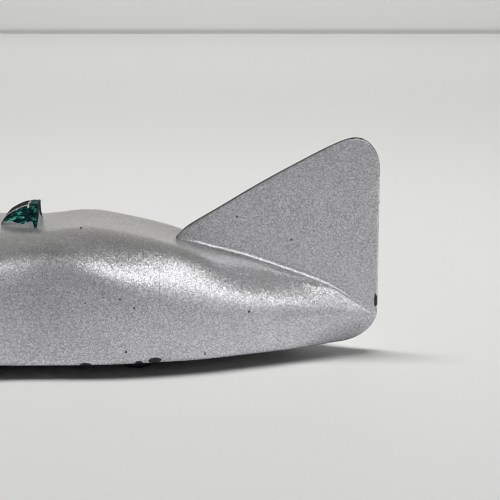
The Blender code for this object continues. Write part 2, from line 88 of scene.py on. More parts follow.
# The hull's cross-section at stations along X, as control points from the deck to the rim.
# Each row: x, deck z, then (half width, z) of the deck's edge, the valley below it, the
# shoulder, the waist and the lower side, then the half width at the rim.
HULL = [
    (-63.0, 17.5, (7.0, 17.5), (12.0, 16.2), (15.0, 14.6), (15.8, 12.0), (15.8, 7.0), 15.6),
    (-50.0, 21.2, (7.5, 20.9), (12.2, 19.8), (16.4, 18.4), (18.0, 14.5), (17.9, 8.5), 17.0),
    (-36.0, 24.3, (7.8, 23.9), (13.0, 22.6), (17.5, 21.0), (19.1, 16.2), (18.9, 9.5), 17.9),
    (-24.0, 26.1, (8.6, 26.3), (13.3, 24.5), (17.5, 21.4), (19.0, 15.8), (18.8, 9.5), 18.1),
    (-14.0, 26.8, (9.1, 27.3), (13.1, 24.9), (16.6, 21.2), (18.1, 15.4), (18.4, 9.5), 18.0),
    (-4.0, 26.8, (9.1, 27.3), (12.8, 25.2), (15.7, 21.0), (16.7, 15.4), (17.6, 9.5), 17.9),
    (5.0, 27.5, (8.9, 28.3), (12.9, 25.3), (16.2, 21.3), (16.9, 15.6), (17.4, 9.5), 17.7),
    (11.0, 26.7, (8.8, 27.5), (13.0, 23.5), (16.1, 19.5), (16.9, 15.0), (17.2, 9.0), 17.2),
    (20.0, 24.35, (8.6, 25.6), (12.5, 21.1), (15.1, 16.8), (15.8, 12.8), (15.9, 8.2), 15.7),
    (28.0, 21.8, (7.2, 22.7), (11.3, 18.2), (13.5, 14.4), (14.0, 11.0), (14.1, 7.4), 13.9),
    (36.0, 19.9, (6.0, 18.2), (9.8, 14.8), (11.3, 11.8), (11.5, 9.0), (11.2, 6.4), 10.9),
    (44.0, 17.3, (4.4, 15.6), (7.4, 12.7), (8.3, 10.0), (8.4, 7.9), (8.1, 5.8), 7.8),
    (52.0, 14.8, (2.7, 13.1), (4.4, 10.8), (4.9, 8.9), (4.9, 7.3), (4.5, 5.5), 3.8),
    (58.0, 12.0, (1.2, 10.8), (2.0, 9.4), (2.4, 8.1), (2.4, 6.7), (1.8, 5.0), 1.0),
    (63.0, 7.8, (0.9, 7.7), (1.0, 7.2), (1.0, 6.6), (1.0, 5.8), (0.9, 4.6), 0.8),
]
DECK_FLAT = 0.6  # how far out the deck stays level, as a share of the first point
# The fin's upper edge (x, z) over the centre plane, up to the start of its rear corner.
FIN_EDGE = [
    (22.2, 23.9),
    (23.5, 25.3),
    (25.2, 26.6),
    (29.1, 28.95),
    (37.1, 33.8),
    (49.0, 40.4),
    (54.9, 43.3),
    (58.1, 44.1),
    (61.0, 43.4),
]
FIN_CORNER_X = 58.1
FIN_CORNER_HEIGHT = 6.5
FIN_HALF_ROOT = 0.75
FIN_HALF_TOP = 0.5
FIN_FILLET = 1.5
FIN_START_X = 22.2
FIN_FULL_X = 27.0
RIM_ROUND = 0.25
WALL = 1.6
CAVITY_X = (-47.0, 46.0)
CAVITY_NARROW = 0.2
LUG_Y = (4.6, 6.6)
LUG_HALF_LENGTH = 3.2
AXLE_SLOT_HALF = 1.02
POST_X = (-24.0, 29.0)
POST_R = 2.2
SPIGOT_R = 1.1
RIVET_HEAD_R = 1.9
RIVET_HEAD_DROP = 0.65
TOUCH_GAP = 0.1
PLATE_THICKNESS = 0.6
PLATE_TOP_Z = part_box("base_plate")[0][2] / MM + 1.1

# The windscreen's upper outline (x, z) from its front foot over the pane to the level roof.
SCREEN_EDGE = [(-12.4, 27.4), (-11.5, 28.6), (-10.0, 29.7), (-8.5, 30.45), (-7.0, 30.85), (-5.2, 30.95)]
SCREEN_CREASE_X = -7.0
SCREEN_FOOT_Z = 26.8
SCREEN_BURIED_Z = 26.4
SCREEN_PANE_HALF = 2.1
SCREEN_PANE_TAPER = 0.148
SCREEN_EDGE_ROUND = 0.2
SCREEN_FOOT_HALF = (4.0, 4.9)
PAINT_EDGE_Z = 27.65
PAINT_THICKNESS = 0.09

INTAKE_HALF_WIDTH = 5.5
INTAKE_HALF_HEIGHT = 1.5
INTAKE_DEPTH = 2.6

# ---------------------------------------------------------------- how finely it is made
BODY_ROWS = 72
FILLET_ROWS = 9
FIN_ROWS = 26
CREST_ROWS = 6


# ---------------------------------------------------------------- curves
def natural_spline(knots, values):
    """A smooth function of x through the points (knots, values)."""
    x = np.array(knots, float)
    y = np.array(values, float)
    n = len(x)
    step = np.diff(x)
    slope = np.diff(y) / step
    system = np.eye(n)
    right = np.zeros(n)
    for i in range(1, n - 1):
        system[i, i - 1 : i + 2] = step[i - 1], 2 * (step[i - 1] + step[i]), step[i]
        right[i] = 6 * (slope[i] - slope[i - 1])
    bend = np.linalg.solve(system, right)

    def at(position):
        i = int(np.clip(np.searchsorted(x, position) - 1, 0, n - 2))
        a, b = x[i + 1] - position, position - x[i]
        cubic = (bend[i] * a**3 + bend[i + 1] * b**3) / (6 * step[i])
        left = (y[i] / step[i] - bend[i] * step[i] / 6) * a
        return cubic + left + (y[i + 1] / step[i] - bend[i + 1] * step[i] / 6) * b

    return at


def b_spline(control, share):
    """A point on the clamped uniform cubic B-spline of some control points, share 0 to 1."""
    degree = 3
    spans = len(control) - degree
    knots = [0.0] * degree + [float(k) for k in range(spans + 1)] + [float(spans)] * degree
    t = min(max(share, 0.0), 1.0) * spans
    k = min(int(t), spans - 1) + degree
    d = [control[j + k - degree] for j in range(degree + 1)]
    for r in range(1, degree + 1):
        for j in range(degree, r - 1, -1):
            low = knots[j + k - degree]
            high = knots[j + 1 + k - r]
            a = (t - low) / (high - low)
            d[j] = (
                (1 - a) * d[j - 1][0] + a * d[j][0],
                (1 - a) * d[j - 1][1] + a * d[j][1],
            )
    return d[degree]


HULL_ROWS = [(row[0], row[1], *[v for pair in row[2:7] for v in pair], row[7]) for row in HULL]
HULL_CURVES = [
    natural_spline([row[0] for row in HULL_ROWS], column) for column in list(zip(*HULL_ROWS))[1:]
]
FIN_LINE = natural_spline([p[0] for p in FIN_EDGE], [p[1] for p in FIN_EDGE])


def smooth_step(t):
    t = min(max(t, 0.0), 1.0)
    return t * t * (3 - 2 * t)


def quarter_round(share):
    """Grows from 0 to 1 as a quarter circle does."""
    share = min(max(share, 0.0), 1.0)
    return math.sqrt(max(0.0, 1 - (1 - share) ** 2))


# ---------------------------------------------------------------- the hull's cross-section
def nose_share(x):
    return quarter_round((x - NOSE_X) / NOSE_LENGTH)


def rim_height(x):
    if x < NOSE_X + NOSE_LENGTH:
        return NOSE_TIP_Z + (RIM_Z - NOSE_TIP_Z) * nose_share(x)
    if x <= TAIL_CORNER_X:
        return RIM_Z
    run = (x - TAIL_CORNER_X) / (TAIL_X - TAIL_CORNER_X)
    return TAIL_CORNER_Z - (TAIL_CORNER_Z - RIM_Z) * math.sqrt(max(0.0, 1 - run * run))


def hull_control(x, inset=0.0):
    """Control points (y, z) of half a cross-section, from the top centre down to the rim."""
    values = [curve(x) for curve in HULL_CURVES]
    deck_z, pairs, rim_w = values[0], values[1:11], values[11]
    points = [(0.0, deck_z), (pairs[0] * DECK_FLAT, deck_z)]
    points += list(zip(pairs[0::2], pairs[1::2]))
    points.append((rim_w, RIM_Z))
    rim_z = rim_height(x)
    nose = nose_share(x)
    top_z = max(deck_z, rim_z + LEAST_HULL_HEIGHT)
    squeeze = (top_z - rim_z) / (deck_z - RIM_Z)
    shaped = []
    for y, z in points:
        if x < NOSE_X + NOSE_LENGTH:
            z = NOSE_TIP_Z + (z - NOSE_TIP_Z) * nose
        elif x > TAIL_CORNER_X:
            z = top_z - (deck_z - z) * squeeze
        shaped.append((max(y - inset, 0.0) * nose, z - inset))
    shaped[-1] = (shaped[-1][0], rim_z)
    return shaped


def fin_outline(x):
    """The fin's top edge over station x."""
    if x <= FIN_CORNER_X:
        return FIN_LINE(x)
    run = (x - FIN_CORNER_X) / (TAIL_X - FIN_CORNER_X)
    return FIN_LINE(FIN_CORNER_X) - FIN_CORNER_HEIGHT * (1 - math.sqrt(max(0.0, 1 - run * run)))


def share_at_width(control, width):
    """Where along the cross-section its half width first reaches width."""
    low, high = 0.0, 0.5
    for _ in range(24):
        middle = (low + high) / 2
        if b_spline(control, middle)[0] < width:
            low = middle
        else:
            high = middle
    return (low + high) / 2


def half_section(x):
    """Half the casting's outline at station x, from the rim up to the centre plane."""
    control = hull_control(x)
    has_fin = x > FIN_START_X + 1e-6
    growth = smooth_step((x - FIN_START_X) / (FIN_FULL_X - FIN_START_X))
    root = FIN_HALF_ROOT * quarter_round((x - FIN_START_X) / 3.0) if has_fin else 0.0
    fillet = min(FIN_FILLET * growth, 0.45 * control[2][0])
    start = share_at_width(control, root + fillet) if has_fin else 0.0
    rim_w, rim_z = control[-1]
    bend = min(RIM_ROUND, 0.2 * (control[0][1] - rim_z), 0.5 * rim_w)
    outline = []
    for i in range(4):
        angle = math.pi / 2 * i / 4
        outline.append((rim_w - bend * (1 - math.sin(angle)), rim_z + bend * (1 - math.cos(angle))))
    outline += [b_spline(control, 1 - (1 - start) * i / BODY_ROWS) for i in range(1, BODY_ROWS + 1)]
    foot_y, foot_z = outline[-1]
    crest = max(fin_outline(x), foot_z) if has_fin else foot_z
    top_half = min(FIN_HALF_TOP, root)
    fillet_z = min(fillet, 0.5 * (crest - foot_z))
    fin = []
    for i in range(1, FILLET_ROWS + 1):
        angle = math.pi / 2 * i / FILLET_ROWS
        y = root + (foot_y - root) * (1 - math.sin(angle))
        fin.append((y, foot_z + fillet_z * (1 - math.cos(angle))))
    low = foot_z + fillet_z
    high = max(crest - top_half, low)
    for i in range(1, FIN_ROWS + 1):
        share = i / FIN_ROWS
        fin.append((root + (top_half - root) * share, low + (high - low) * share))
    for i in range(1, CREST_ROWS + 1):
        angle = math.pi / 2 * i / CREST_ROWS
        fin.append((top_half * math.cos(angle), high + (crest - high) * math.sin(angle)))
    if not has_fin:
        fin = [(0.0, foot_z)] * len(fin)
    edge = quarter_round((TAIL_X - x) / EDGE_ROUND)
    return [(y * edge, z) for y, z in outline + fin]


def spaced(low, high, count):
    return [low + (high - low) * i / count for i in range(count + 1)]


def hull_stations():
    """Stations along X: close at the round nose, at the fin's tip and at the tail's edges."""
    nose = [NOSE_X + NOSE_LENGTH * (1 - math.cos(math.pi / 2 * i / 40)) for i in range(40)]
    middle = spaced(NOSE_X + NOSE_LENGTH, FIN_START_X, 110)
    fin_tip = [FIN_START_X + (FIN_FULL_X - FIN_START_X) * (i / 20) ** 1.5 for i in range(1, 20)]
    rear = spaced(FIN_FULL_X, FIN_CORNER_X, 84)
    corner = [FIN_CORNER_X + (TAIL_X - FIN_CORNER_X) * math.sin(math.pi / 2 * i / 24) for i in range(1, 24)]
    edge = [TAIL_X - EDGE_ROUND * (1 - math.sin(math.pi / 2 * i / 6)) for i in range(7)]
    corner = [x for x in corner if x < edge[0] - 0.02]
    return sorted(nose + middle + fin_tip + rear + corner + edge)


# ---------------------------------------------------------------- mesh helpers
def finish_mesh(bm, name, look=None, smooth_angle=40.0, weld=1e-6):
    bmesh.ops.scale(bm, vec=(MM, MM, MM), verts=bm.verts)
    bmesh.ops.remove_doubles(bm, verts=bm.verts, dist=weld)
    bmesh.ops.dissolve_degenerate(bm, dist=weld / 10, edges=bm.edges)
    bmesh.ops.recalc_face_normals(bm, faces=bm.faces)
    mesh = bpy.data.meshes.new(name)
    bm.to_mesh(mesh)
    bm.free()
    mesh.shade_smooth()
    mesh.set_sharp_from_angle(angle=math.radians(smooth_angle))
    if look:
        mesh.materials.append(look)
    made = bpy.data.objects.new(name, mesh)
    bpy.context.scene.collection.objects.link(made)
    return made


def apply_modifiers(obj):
    graph = bpy.context.evaluated_depsgraph_get()
    mesh = bpy.data.meshes.new_from_object(obj.evaluated_get(graph))
    obj.modifiers.clear()
    old, obj.data = obj.data, mesh
    bpy.data.meshes.remove(old)
    mesh.name = obj.name


def combine(obj, other, operation):
    """Joins other to obj, or cuts it from obj, and removes it."""
    modifier = obj.modifiers.new("boolean", "BOOLEAN")
    modifier.operation = operation
    modifier.object = other
    modifier.solver = "EXACT"
    bpy.context.view_layer.update()
    apply_modifiers(obj)
    mesh = other.data
    bpy.data.objects.remove(other)
    bpy.data.meshes.remove(mesh)


def loft_bmesh(sections):
    """Closed skin through half sections (x, [(y, z), ...]) mirrored in the centre plane."""
    bm = bmesh.new()
    rings = []
    for x, outline in sections:
        right = [(0.0, outline[0][1])] + list(outline)
        left = [(-y, z) for y, z in reversed(right)][1:-1]
        rings.append([bm.verts.new((x, y, z)) for y, z in right + left])
    count = len(rings[0])
    for near, far in zip(rings[:-1], rings[1:]):
        for j in range(count):
            k = (j + 1) % count
            bm.faces.new((near[j], near[k], far[k], far[j]))
    for end in (rings[0], rings[-1]):
        spread = max((v.co - end[0].co).length for v in end)
        thin = max(abs(v.co.y) for v in end) < 1e-6
        if spread > 1e-6 and not thin:
            bm.faces.new(end)
    return bm


def inner_section(x):
    """The cavity's half outline at station x, open below the rim."""
    control = hull_control(x, inset=WALL)
    control[-1] = (control[-1][0] - CAVITY_NARROW, control[-1][1])
    outline = [b_spline(control, 1 - i / 28) for i in range(29)]
    return [(outline[0][0], RIM_Z - 3.0)] + outline


def helper(name, bm):
    return finish_mesh(bm, name)


def extruded_bmesh(outline, low_y, high_y):
    """A flat outline of (x, z) points, pulled along Y."""
    bm = bmesh.new()
    near = [bm.verts.new((x, low_y, z)) for x, z in outline]
    far = [bm.verts.new((x, high_y, z)) for x, z in outline]
    bm.faces.new(near)
    bm.faces.new(far[::-1])
    for i in range(len(outline)):
        j = (i + 1) % len(outline)
        bm.faces.new((near[i], far[i], far[j], near[j]))
    return bm


def turned_bmesh(profile, centre, steps, upright=False):
    """Turns a (along, radius) profile: about a vertical line, or about a line along Y."""
    bm = bmesh.new()
    rings = []
    for along, r in profile:
        ring = []
        for i in range(steps):
            u, v = math.cos(2 * math.pi * i / steps), math.sin(2 * math.pi * i / steps)
            place = (r * u, r * v, along) if upright else (r * u, along, r * v)
            ring.append(bm.verts.new(Vector(centre) + Vector(place)))
        rings.append(ring)
    closed = profile[0][1] > 0
    pairs = list(zip(rings, rings[1:])) + ([(rings[-1], rings[0])] if closed else [])
    for low, high in pairs:
        for i in range(steps):
            j = (i + 1) % steps
            bm.faces.new((low[i], low[j], high[j], high[i]))
    return bm


def roof_middle(x, width):
    """The height half way through the roof's wall, so far out from the centre plane."""
    control = hull_control(x)
    return b_spline(control, share_at_width(control, width))[1] - WALL / 2


def make_lug(x, side, axle_z):
    low_y, high_y = sorted((side * LUG_Y[0], side * LUG_Y[1]))
    front_x, back_x = x - LUG_HALF_LENGTH, x + LUG_HALF_LENGTH
    front_roof, back_roof = roof_middle(front_x, LUG_Y[1]), roof_middle(back_x, LUG_Y[1])
    bottom = PLATE_TOP_Z + TOUCH_GAP
    outline = [(front_x, front_roof), (front_x, bottom), (x - AXLE_SLOT_HALF, bottom)]
    for i in range(17):
        angle = math.pi - math.pi * i / 16
        outline.append((x + AXLE_SLOT_HALF * math.cos(angle), axle_z + AXLE_SLOT_HALF * math.sin(angle)))
    outline += [(x + AXLE_SLOT_HALF, bottom), (back_x, bottom), (back_x, back_roof)]
    return helper("lug", extruded_bmesh(outline, low_y, high_y))


def make_post(x):
    """A cast post whose end is peened into a domed head over the base plate."""
    shoulder = PLATE_TOP_Z + TOUCH_GAP
    under = PLATE_TOP_Z - PLATE_THICKNESS - TOUCH_GAP
    roof = hull_control(x)[0][1] - WALL + 0.5
    dome = []
    for i in range(9):
        angle = math.pi / 2 * i / 8
        dome.append((under - RIVET_HEAD_DROP * math.cos(angle), RIVET_HEAD_R * math.sin(angle)))
    stem = [(under, SPIGOT_R), (shoulder, SPIGOT_R), (shoulder, POST_R), (roof, POST_R), (roof, 0.0)]
    return helper("post", turned_bmesh(dome + stem, (x, 0, 0), 48, upright=True))


def make_intake():
    """A flattened slot across the nose."""
    bm = bmesh.new()
    steps = 48
    rings = []
    for x, share in ((NOSE_X - 2.0, 1.0), (NOSE_X + INTAKE_DEPTH - 0.8, 1.0), (NOSE_X + INTAKE_DEPTH, 0.75)):
        ring = []
        for i in range(steps):
            angle = 2 * math.pi * i / steps
            side = math.copysign(INTAKE_HALF_WIDTH - INTAKE_HALF_HEIGHT, math.cos(angle))
            y = side + INTAKE_HALF_HEIGHT * math.cos(angle)
            z = NOSE_TIP_Z + share * (0.6 + INTAKE_HALF_HEIGHT * math.sin(angle))
            ring.append(bm.verts.new((x, y * share, z)))
        rings.append(ring)
    for near, far in zip(rings[:-1], rings[1:]):
        for i in range(steps):
            j = (i + 1) % steps
            bm.faces.new((near[i], near[j], far[j], far[i]))
    bm.faces.new(rings[0])
    bm.faces.new(rings[-1])
    return helper("intake", bm)


SCREEN_LINE = natural_spline([p[0] for p in SCREEN_EDGE], [p[1] for p in SCREEN_EDGE])
SCREEN_FRONT_X = SCREEN_EDGE[0][0]
SCREEN_BACK_X = SCREEN_EDGE[-1][0]


def pane_half(x):
    """Half the width of the raked pane, which narrows up to its crease, and of the roof behind it."""
    return SCREEN_PANE_HALF + SCREEN_PANE_TAPER * max(SCREEN_CREASE_X - x, 0.0)


def screen_side(x, z):
    """The windscreen's half width at height z: upright above, flared towards its foot."""
    share = (x - SCREEN_FRONT_X) / (SCREEN_BACK_X - SCREEN_FRONT_X)
    foot = SCREEN_FOOT_HALF[0] + (SCREEN_FOOT_HALF[1] - SCREEN_FOOT_HALF[0]) * share
    edge = pane_half(x) + SCREEN_EDGE_ROUND
    top = SCREEN_LINE(x) - SCREEN_EDGE_ROUND
    drop = min(max((top - z) / max(top - SCREEN_FOOT_Z, 0.1), 0.0), 1.0)
    return edge + (foot - edge) * (0.35 * drop + 0.65 * drop**4)


def screen_hoop(x, low_z, grow=0.0, steps=14):
    """(y, z) points from the near side's lower edge over the roof to the far side's."""
    top = SCREEN_LINE(x)
    edge = top - SCREEN_EDGE_ROUND
    pane = pane_half(x)
    low_z = min(low_z, edge - 0.05)
    heights = [low_z + (edge - low_z) * i / steps for i in range(steps)]
    side = [(screen_side(x, z) + grow, z) for z in heights]
    for i in range(5):
        angle = math.pi / 2 * i / 4
        reach = SCREEN_EDGE_ROUND + grow
        side.append((pane + reach * math.cos(angle), edge + reach * math.sin(angle)))
    side += [(pane * (1 - i / 10), top + grow) for i in range(1, 11)]
    return [(-y, z) for y, z in side] + [(y, z) for y, z in reversed(side[:-1])]


def make_windscreen():
    """The cast lump of the windscreen: a raked pane, a level roof, flared sides, an upright back."""
    bm = bmesh.new()
    rings = []
    for x in spaced(SCREEN_FRONT_X, SCREEN_BACK_X, 60):
        hoop = screen_hoop(x, SCREEN_FOOT_Z)
        hoop = [(hoop[0][0], SCREEN_BURIED_Z)] + hoop + [(hoop[-1][0], SCREEN_BURIED_Z)]
        rings.append([bm.verts.new((x, y, z)) for y, z in hoop])
    count = len(rings[0])
    for near, far in zip(rings[:-1], rings[1:]):
        for j in range(count):
            k = (j + 1) % count
            bm.faces.new((near[j], near[k], far[k], far[j]))
    bm.faces.new(rings[0])
    bm.faces.new(rings[-1])
    return helper("windscreen", bm)


def make_body(look):
    body = finish_mesh(loft_bmesh([(x, half_section(x)) for x in hull_stations()]), "car_body", look)
    cavity = helper("cavity", loft_bmesh([(x, inner_section(x)) for x in spaced(*CAVITY_X, 60)]))
    combine(body, cavity, "DIFFERENCE")
    for end in ("front", "rear"):
        low, high = (corner / MM for corner in map(Vector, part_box(f"{end}_axle")))
        for side in (-1, 1):
            combine(body, make_lug((low.x + high.x) / 2, side, (low.z + high.z) / 2), "UNION")
    for x in POST_X:
        combine(body, make_post(x), "UNION")
    combine(body, make_windscreen(), "UNION")
    combine(body, make_intake(), "DIFFERENCE")
    body.data.set_sharp_from_angle(angle=math.radians(40.0))
    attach(body, "body")
    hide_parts("body_casting")
    return body


def make_screen_paint(look):
    """A thick brushed coat of green enamel over the windscreen, with an uneven lower edge."""
    bm = bmesh.new()
    rows = []
    xs = spaced(SCREEN_FRONT_X + 0.5, SCREEN_BACK_X, 90)
    for x in xs:
        uneven = 0.45 * noise.noise(Vector((x * 0.55, 3.3, 0.0)))
        uneven += 0.2 * noise.noise(Vector((x * 1.7, 9.1, 0.0)))
        uneven -= 0.9 * smooth_step((x - SCREEN_BACK_X + 1.0) / 0.7)
        hoop = screen_hoop(x, PAINT_EDGE_Z + uneven, PAINT_THICKNESS, steps=30)
        rows.append([Vector((x, y, z)) for y, z in hoop])
    back = rows[-1]
    middle = Vector((SCREEN_BACK_X, 0.0, (back[0].z + back[len(back) // 2].z) / 2))
    for share in (0.99, 0.95, 0.85, 0.7, 0.5, 0.25):
        bulge = PAINT_THICKNESS if share < 0.97 else PAINT_THICKNESS * 0.6
        row = [middle + (p - middle) * share + Vector((bulge, 0, 0)) for p in back]
        rows.append([Vector((p.x, p.y, max(p.z, back[0].z))) for p in row])
    grid = [[bm.verts.new(p) for p in row] for row in rows]
    for near, far in zip(grid[:-1], grid[1:]):
        for j in range(len(near) - 1):
            bm.faces.new((near[j], near[j + 1], far[j + 1], far[j]))
    bmesh.ops.recalc_face_normals(bm, faces=bm.faces)
    bm.normal_update()
    for vert in bm.verts:
        lump = noise.noise(vert.co * 1.3) + 0.6 * noise.noise(vert.co * 3.1)
        vert.co += vert.normal * 0.06 * lump
    made = finish_mesh(bm, "windscreen_paint", look, smooth_angle=60.0)
    coat = made.modifiers.new("coat", "SOLIDIFY")
    coat.thickness = 0.16 * MM
    coat.offset = -1.0
    bpy.context.view_layer.update()
    apply_modifiers(made)
    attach(made, "body")
    return made


# ---------------------------------------------------------------- wheels, axles and base plate
def rounded(points, steps=4):
    """Rounds the corners of a closed (along, radius, fillet) profile."""
    found = []
    for i, (along, r, fillet) in enumerate(points):
        corner = Vector((along, r))
        before = Vector(points[i - 1][:2]) - corner
        after = Vector(points[(i + 1) % len(points)][:2]) - corner
        start = corner + before * min(fillet / before.length, 0.49)
        end = corner + after * min(fillet / after.length, 0.49)
        for k in range(steps + 1):
            t = k / steps
            found.append(tuple(start * (1 - t) ** 2 + corner * 2 * t * (1 - t) + end * t * t))
    return found


def ride_on(made, body, node):
    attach(made, body)
    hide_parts(node)
    return made


def make_wheel(end, side, zinc, rubber):
    """A die-cast hub between two flanges and a plain rubber tyre, both turned about the axle."""
    name = f"{end}_{side}"
    low, high = (corner / MM for corner in map(Vector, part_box(f"tyre_{name}")))
    sign = 1 if side == "right" else -1
    outer = max(abs(low.y), abs(high.y))
    width = high.y - low.y
    radius = (high.z - low.z) / 2
    centre = ((low.x + high.x) / 2, 0.0, (low.z + high.z) / 2)
    inner = width - 0.3
    tyre = [
        (0.06, 4.76, 0.05),
        (0.0, 5.1, 0.3),
        (0.08, radius - 0.62, 0.4),
        (0.72, radius, 0.6),
        (width - 0.72, radius, 0.6),
        (width - 0.08, radius - 0.62, 0.4),
        (width, 5.1, 0.3),
        (width - 0.06, 4.76, 0.05),
        (width - 0.86, 4.76, 0.05),
        (width - 1.06, 4.26, 0.05),
        (1.06, 4.26, 0.05),
        (0.86, 4.76, 0.05),
    ]
    hub = [
        (0.9, 1.02, 0.1),
        (0.9, 2.2, 0.35),
        (0.3, 3.5, 0.3),
        (0.3, 4.7, 0.12),
        (0.8, 4.7, 0.12),
        (1.0, 4.2, 0.1),
        (width - 1.0, 4.2, 0.1),
        (width - 0.8, 4.7, 0.12),
        (inner, 4.7, 0.12),
        (inner, 3.5, 0.3),
        (inner - 0.5, 2.2, 0.3),
        (inner - 0.5, 1.02, 0.1),
    ]
    for kind, points, look, slot in (
        ("wheel_hub", hub, zinc, "hub_zinc"),
        ("tyre", tyre, rubber, "black_rubber"),
    ):
        profile = [(sign * (outer - inward), r) for inward, r in rounded(points)]
        made = finish_mesh(turned_bmesh(profile, centre, 96), f"{kind}_{name}_fine", look)
        ride_on(made, f"{name}_wheel", f"{kind}_{name}")


def make_axle(end, steel):
    """Drawn wire with both ends hammered into round heads."""
    low, high = (corner / MM for corner in map(Vector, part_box(f"{end}_axle")))
    centre = ((low.x + high.x) / 2, 0.0, (low.z + high.z) / 2)
    head = (high.z - low.z) / 2
    wire = 0.9
    half = [(high.y - 0.5, wire), (high.y - 0.5, head - 0.06), (high.y - 0.44, head), (high.y - 0.3, head)]
    for i in range(1, 9):
        angle = math.pi / 2 * i / 8
        half.append((high.y - 0.3 + 0.3 * math.sin(angle), head * math.cos(angle) ** 0.7 if i < 8 else 0.0))
    profile = [(-y, r) for y, r in reversed(half)] + half
    made = finish_mesh(turned_bmesh(profile, centre, 48), f"{end}_axle_fine", steel)
    return ride_on(made, f"{end}_axle_body", f"{end}_axle")


def make_plate(tin):
    """The pressed base plate, with its cut edges slightly broken."""
    source = next(o for o in bpy.data.objects if o.name == "base_plate")
    mesh = source.data.copy()
    mesh.materials.clear()
    mesh.materials.append(tin)
    made = bpy.data.objects.new("base_plate_fine", mesh)
    made.matrix_world = source.matrix_world.copy()
    bpy.context.scene.collection.objects.link(made)
    bevel = made.modifiers.new("bevel", "BEVEL")
    bevel.width = 0.12 * MM
    bevel.segments = 2
    bevel.limit_method = "ANGLE"
    bevel.angle_limit = math.radians(50.0)
    bevel.harden_normals = False
    bpy.context.view_layer.update()
    apply_modifiers(made)
    made.data.shade_smooth()
    made.data.set_sharp_from_angle(angle=math.radians(40.0))
    return ride_on(made, "body", "base_plate")


# ---------------------------------------------------------------- materials
class Nodes:
    """A short way to write a material's nodes."""

    def __init__(self, name):
        self.material = bpy.data.materials.new(name)
        self.material.use_nodes = True
        self.tree = self.material.node_tree
        self.shader = self.tree.nodes["Principled BSDF"]

    def new(self, kind, **values):
        node = self.tree.nodes.new(kind)
        for key, value in values.items():
            setattr(node, key, value)
        return node

    def link(self, out, into):
        self.tree.links.new(out, into)

    def set(self, **values):
        for key, value in values.items():
            self.shader.inputs[key.replace("_", " ")].default_value = value

    def position(self):
        """Object coordinates in millimetres."""
        coordinates = self.new("ShaderNodeTexCoord")
        scale = self.new("ShaderNodeVectorMath", operation="SCALE")
        scale.inputs["Scale"].default_value = 1000.0
        self.link(coordinates.outputs["Object"], scale.inputs[0])
        return scale.outputs[0]

    def math(self, operation, *values, clamp=False):
        node = self.new("ShaderNodeMath", operation=operation, use_clamp=clamp)
        for socket, value in zip(node.inputs, values):
            if isinstance(value, (int, float)):
                socket.default_value = value
            else:
                self.link(value, socket)
        return node.outputs[0]

    def noise(self, vector, scale, detail=2.0, roughness=0.5):
        node = self.new("ShaderNodeTexNoise")
        node.inputs["Scale"].default_value = scale
        node.inputs["Detail"].default_value = detail
        node.inputs["Roughness"].default_value = roughness
        self.link(vector, node.inputs["Vector"])
        return node.outputs["Fac"]

    def mix_colour(self, factor, first, second):
        node = self.new("ShaderNodeMix", data_type="RGBA")
        for socket, value in ((node.inputs[0], factor), (node.inputs[6], first), (node.inputs[7], second)):
            if isinstance(value, (int, float)):
                socket.default_value = value
            elif isinstance(value, tuple):
                socket.default_value = (*value, 1.0)
            else:
                self.link(value, socket)
        return node.outputs[2]


def fine_bump(n, height, strength, distance):
    bump = n.new("ShaderNodeBump")
    bump.inputs["Strength"].default_value = strength
    bump.inputs["Distance"].default_value = distance
    n.link(height, bump.inputs["Height"])
    n.link(bump.outputs[0], n.shader.inputs["Normal"])


def spots_mask(n, place, spots, ragged=0.5):
    """1 inside any of the listed spots, given as (centre, half sizes) in millimetres."""
    rough = n.math("MULTIPLY", n.math("SUBTRACT", n.noise(place, 1.6, detail=3.0), 0.5), ragged * 2.6)
    total = None
    for centre, sizes in spots:
        off = n.new("ShaderNodeVectorMath", operation="SUBTRACT")
        n.link(place, off.inputs[0])
        off.inputs[1].default_value = centre
        share = n.new("ShaderNodeVectorMath", operation="DIVIDE")
        n.link(off.outputs[0], share.inputs[0])
        share.inputs[1].default_value = sizes
        length = n.new("ShaderNodeVectorMath", operation="LENGTH")
        n.link(share.outputs[0], length.inputs[0])
        inside = n.math("LESS_THAN", n.math("ADD", length.outputs["Value"], rough), 1.0)
        total = inside if total is None else n.math("MAXIMUM", total, inside)
    return total


# Bare black patches in the enamel: (centre, half sizes) in mm, on the near side and the fin.
CHIPS = [
    ((18.6, -16.0, 2.9), (1.3, 3.0, 0.6)),
    ((15.5, -16.5, 2.6), (0.7, 3.0, 0.45)),
    ((5.2, -17.7, 2.6), (1.0, 3.0, 0.45)),
    ((62.6, 0.0, 10.7), (0.5, 2.0, 1.4)),
    ((62.95, 0.0, 31.0), (0.2, 2.0, 0.3)),
    ((57.0, 0.0, 44.1), (1.0, 2.0, 0.25)),
    ((59.4, 0.0, 43.9), (0.6, 2.0, 0.2)),
]
PIN_DOTS = [
    ((34.5, -0.6, 28.1), (0.22, 1.0, 0.22)),
    ((45.4, -0.6, 23.4), (0.22, 1.0, 0.22)),
    ((5.0, -1.2, 28.6), (0.24, 0.7, 1.0)),
    ((4.1, -8.4, 27.3), (0.22, 0.6, 1.0)),
    ((-4.2, -1.3, 28.0), (0.3, 0.7, 1.0)),
    ((12.1, -16.6, 15.4), (0.2, 2.0, 0.2)),
    ((14.8, -16.5, 13.7), (0.2, 2.0, 0.2)),
    ((5.4, -16.9, 14.8), (0.16, 2.0, 0.16)),
    ((29.2, -8.0, 19.2), (0.18, 2.0, 0.2)),
    ((36.9, -10.5, 11.3), (0.24, 2.0, 0.24)),
    ((42.6, -8.6, 4.8), (0.15, 2.0, 0.15)),
    ((13.1, -16.9, 4.9), (0.24, 2.0, 0.24)),
    ((28.3, -13.9, 3.6), (0.12, 2.0, 0.5)),
]


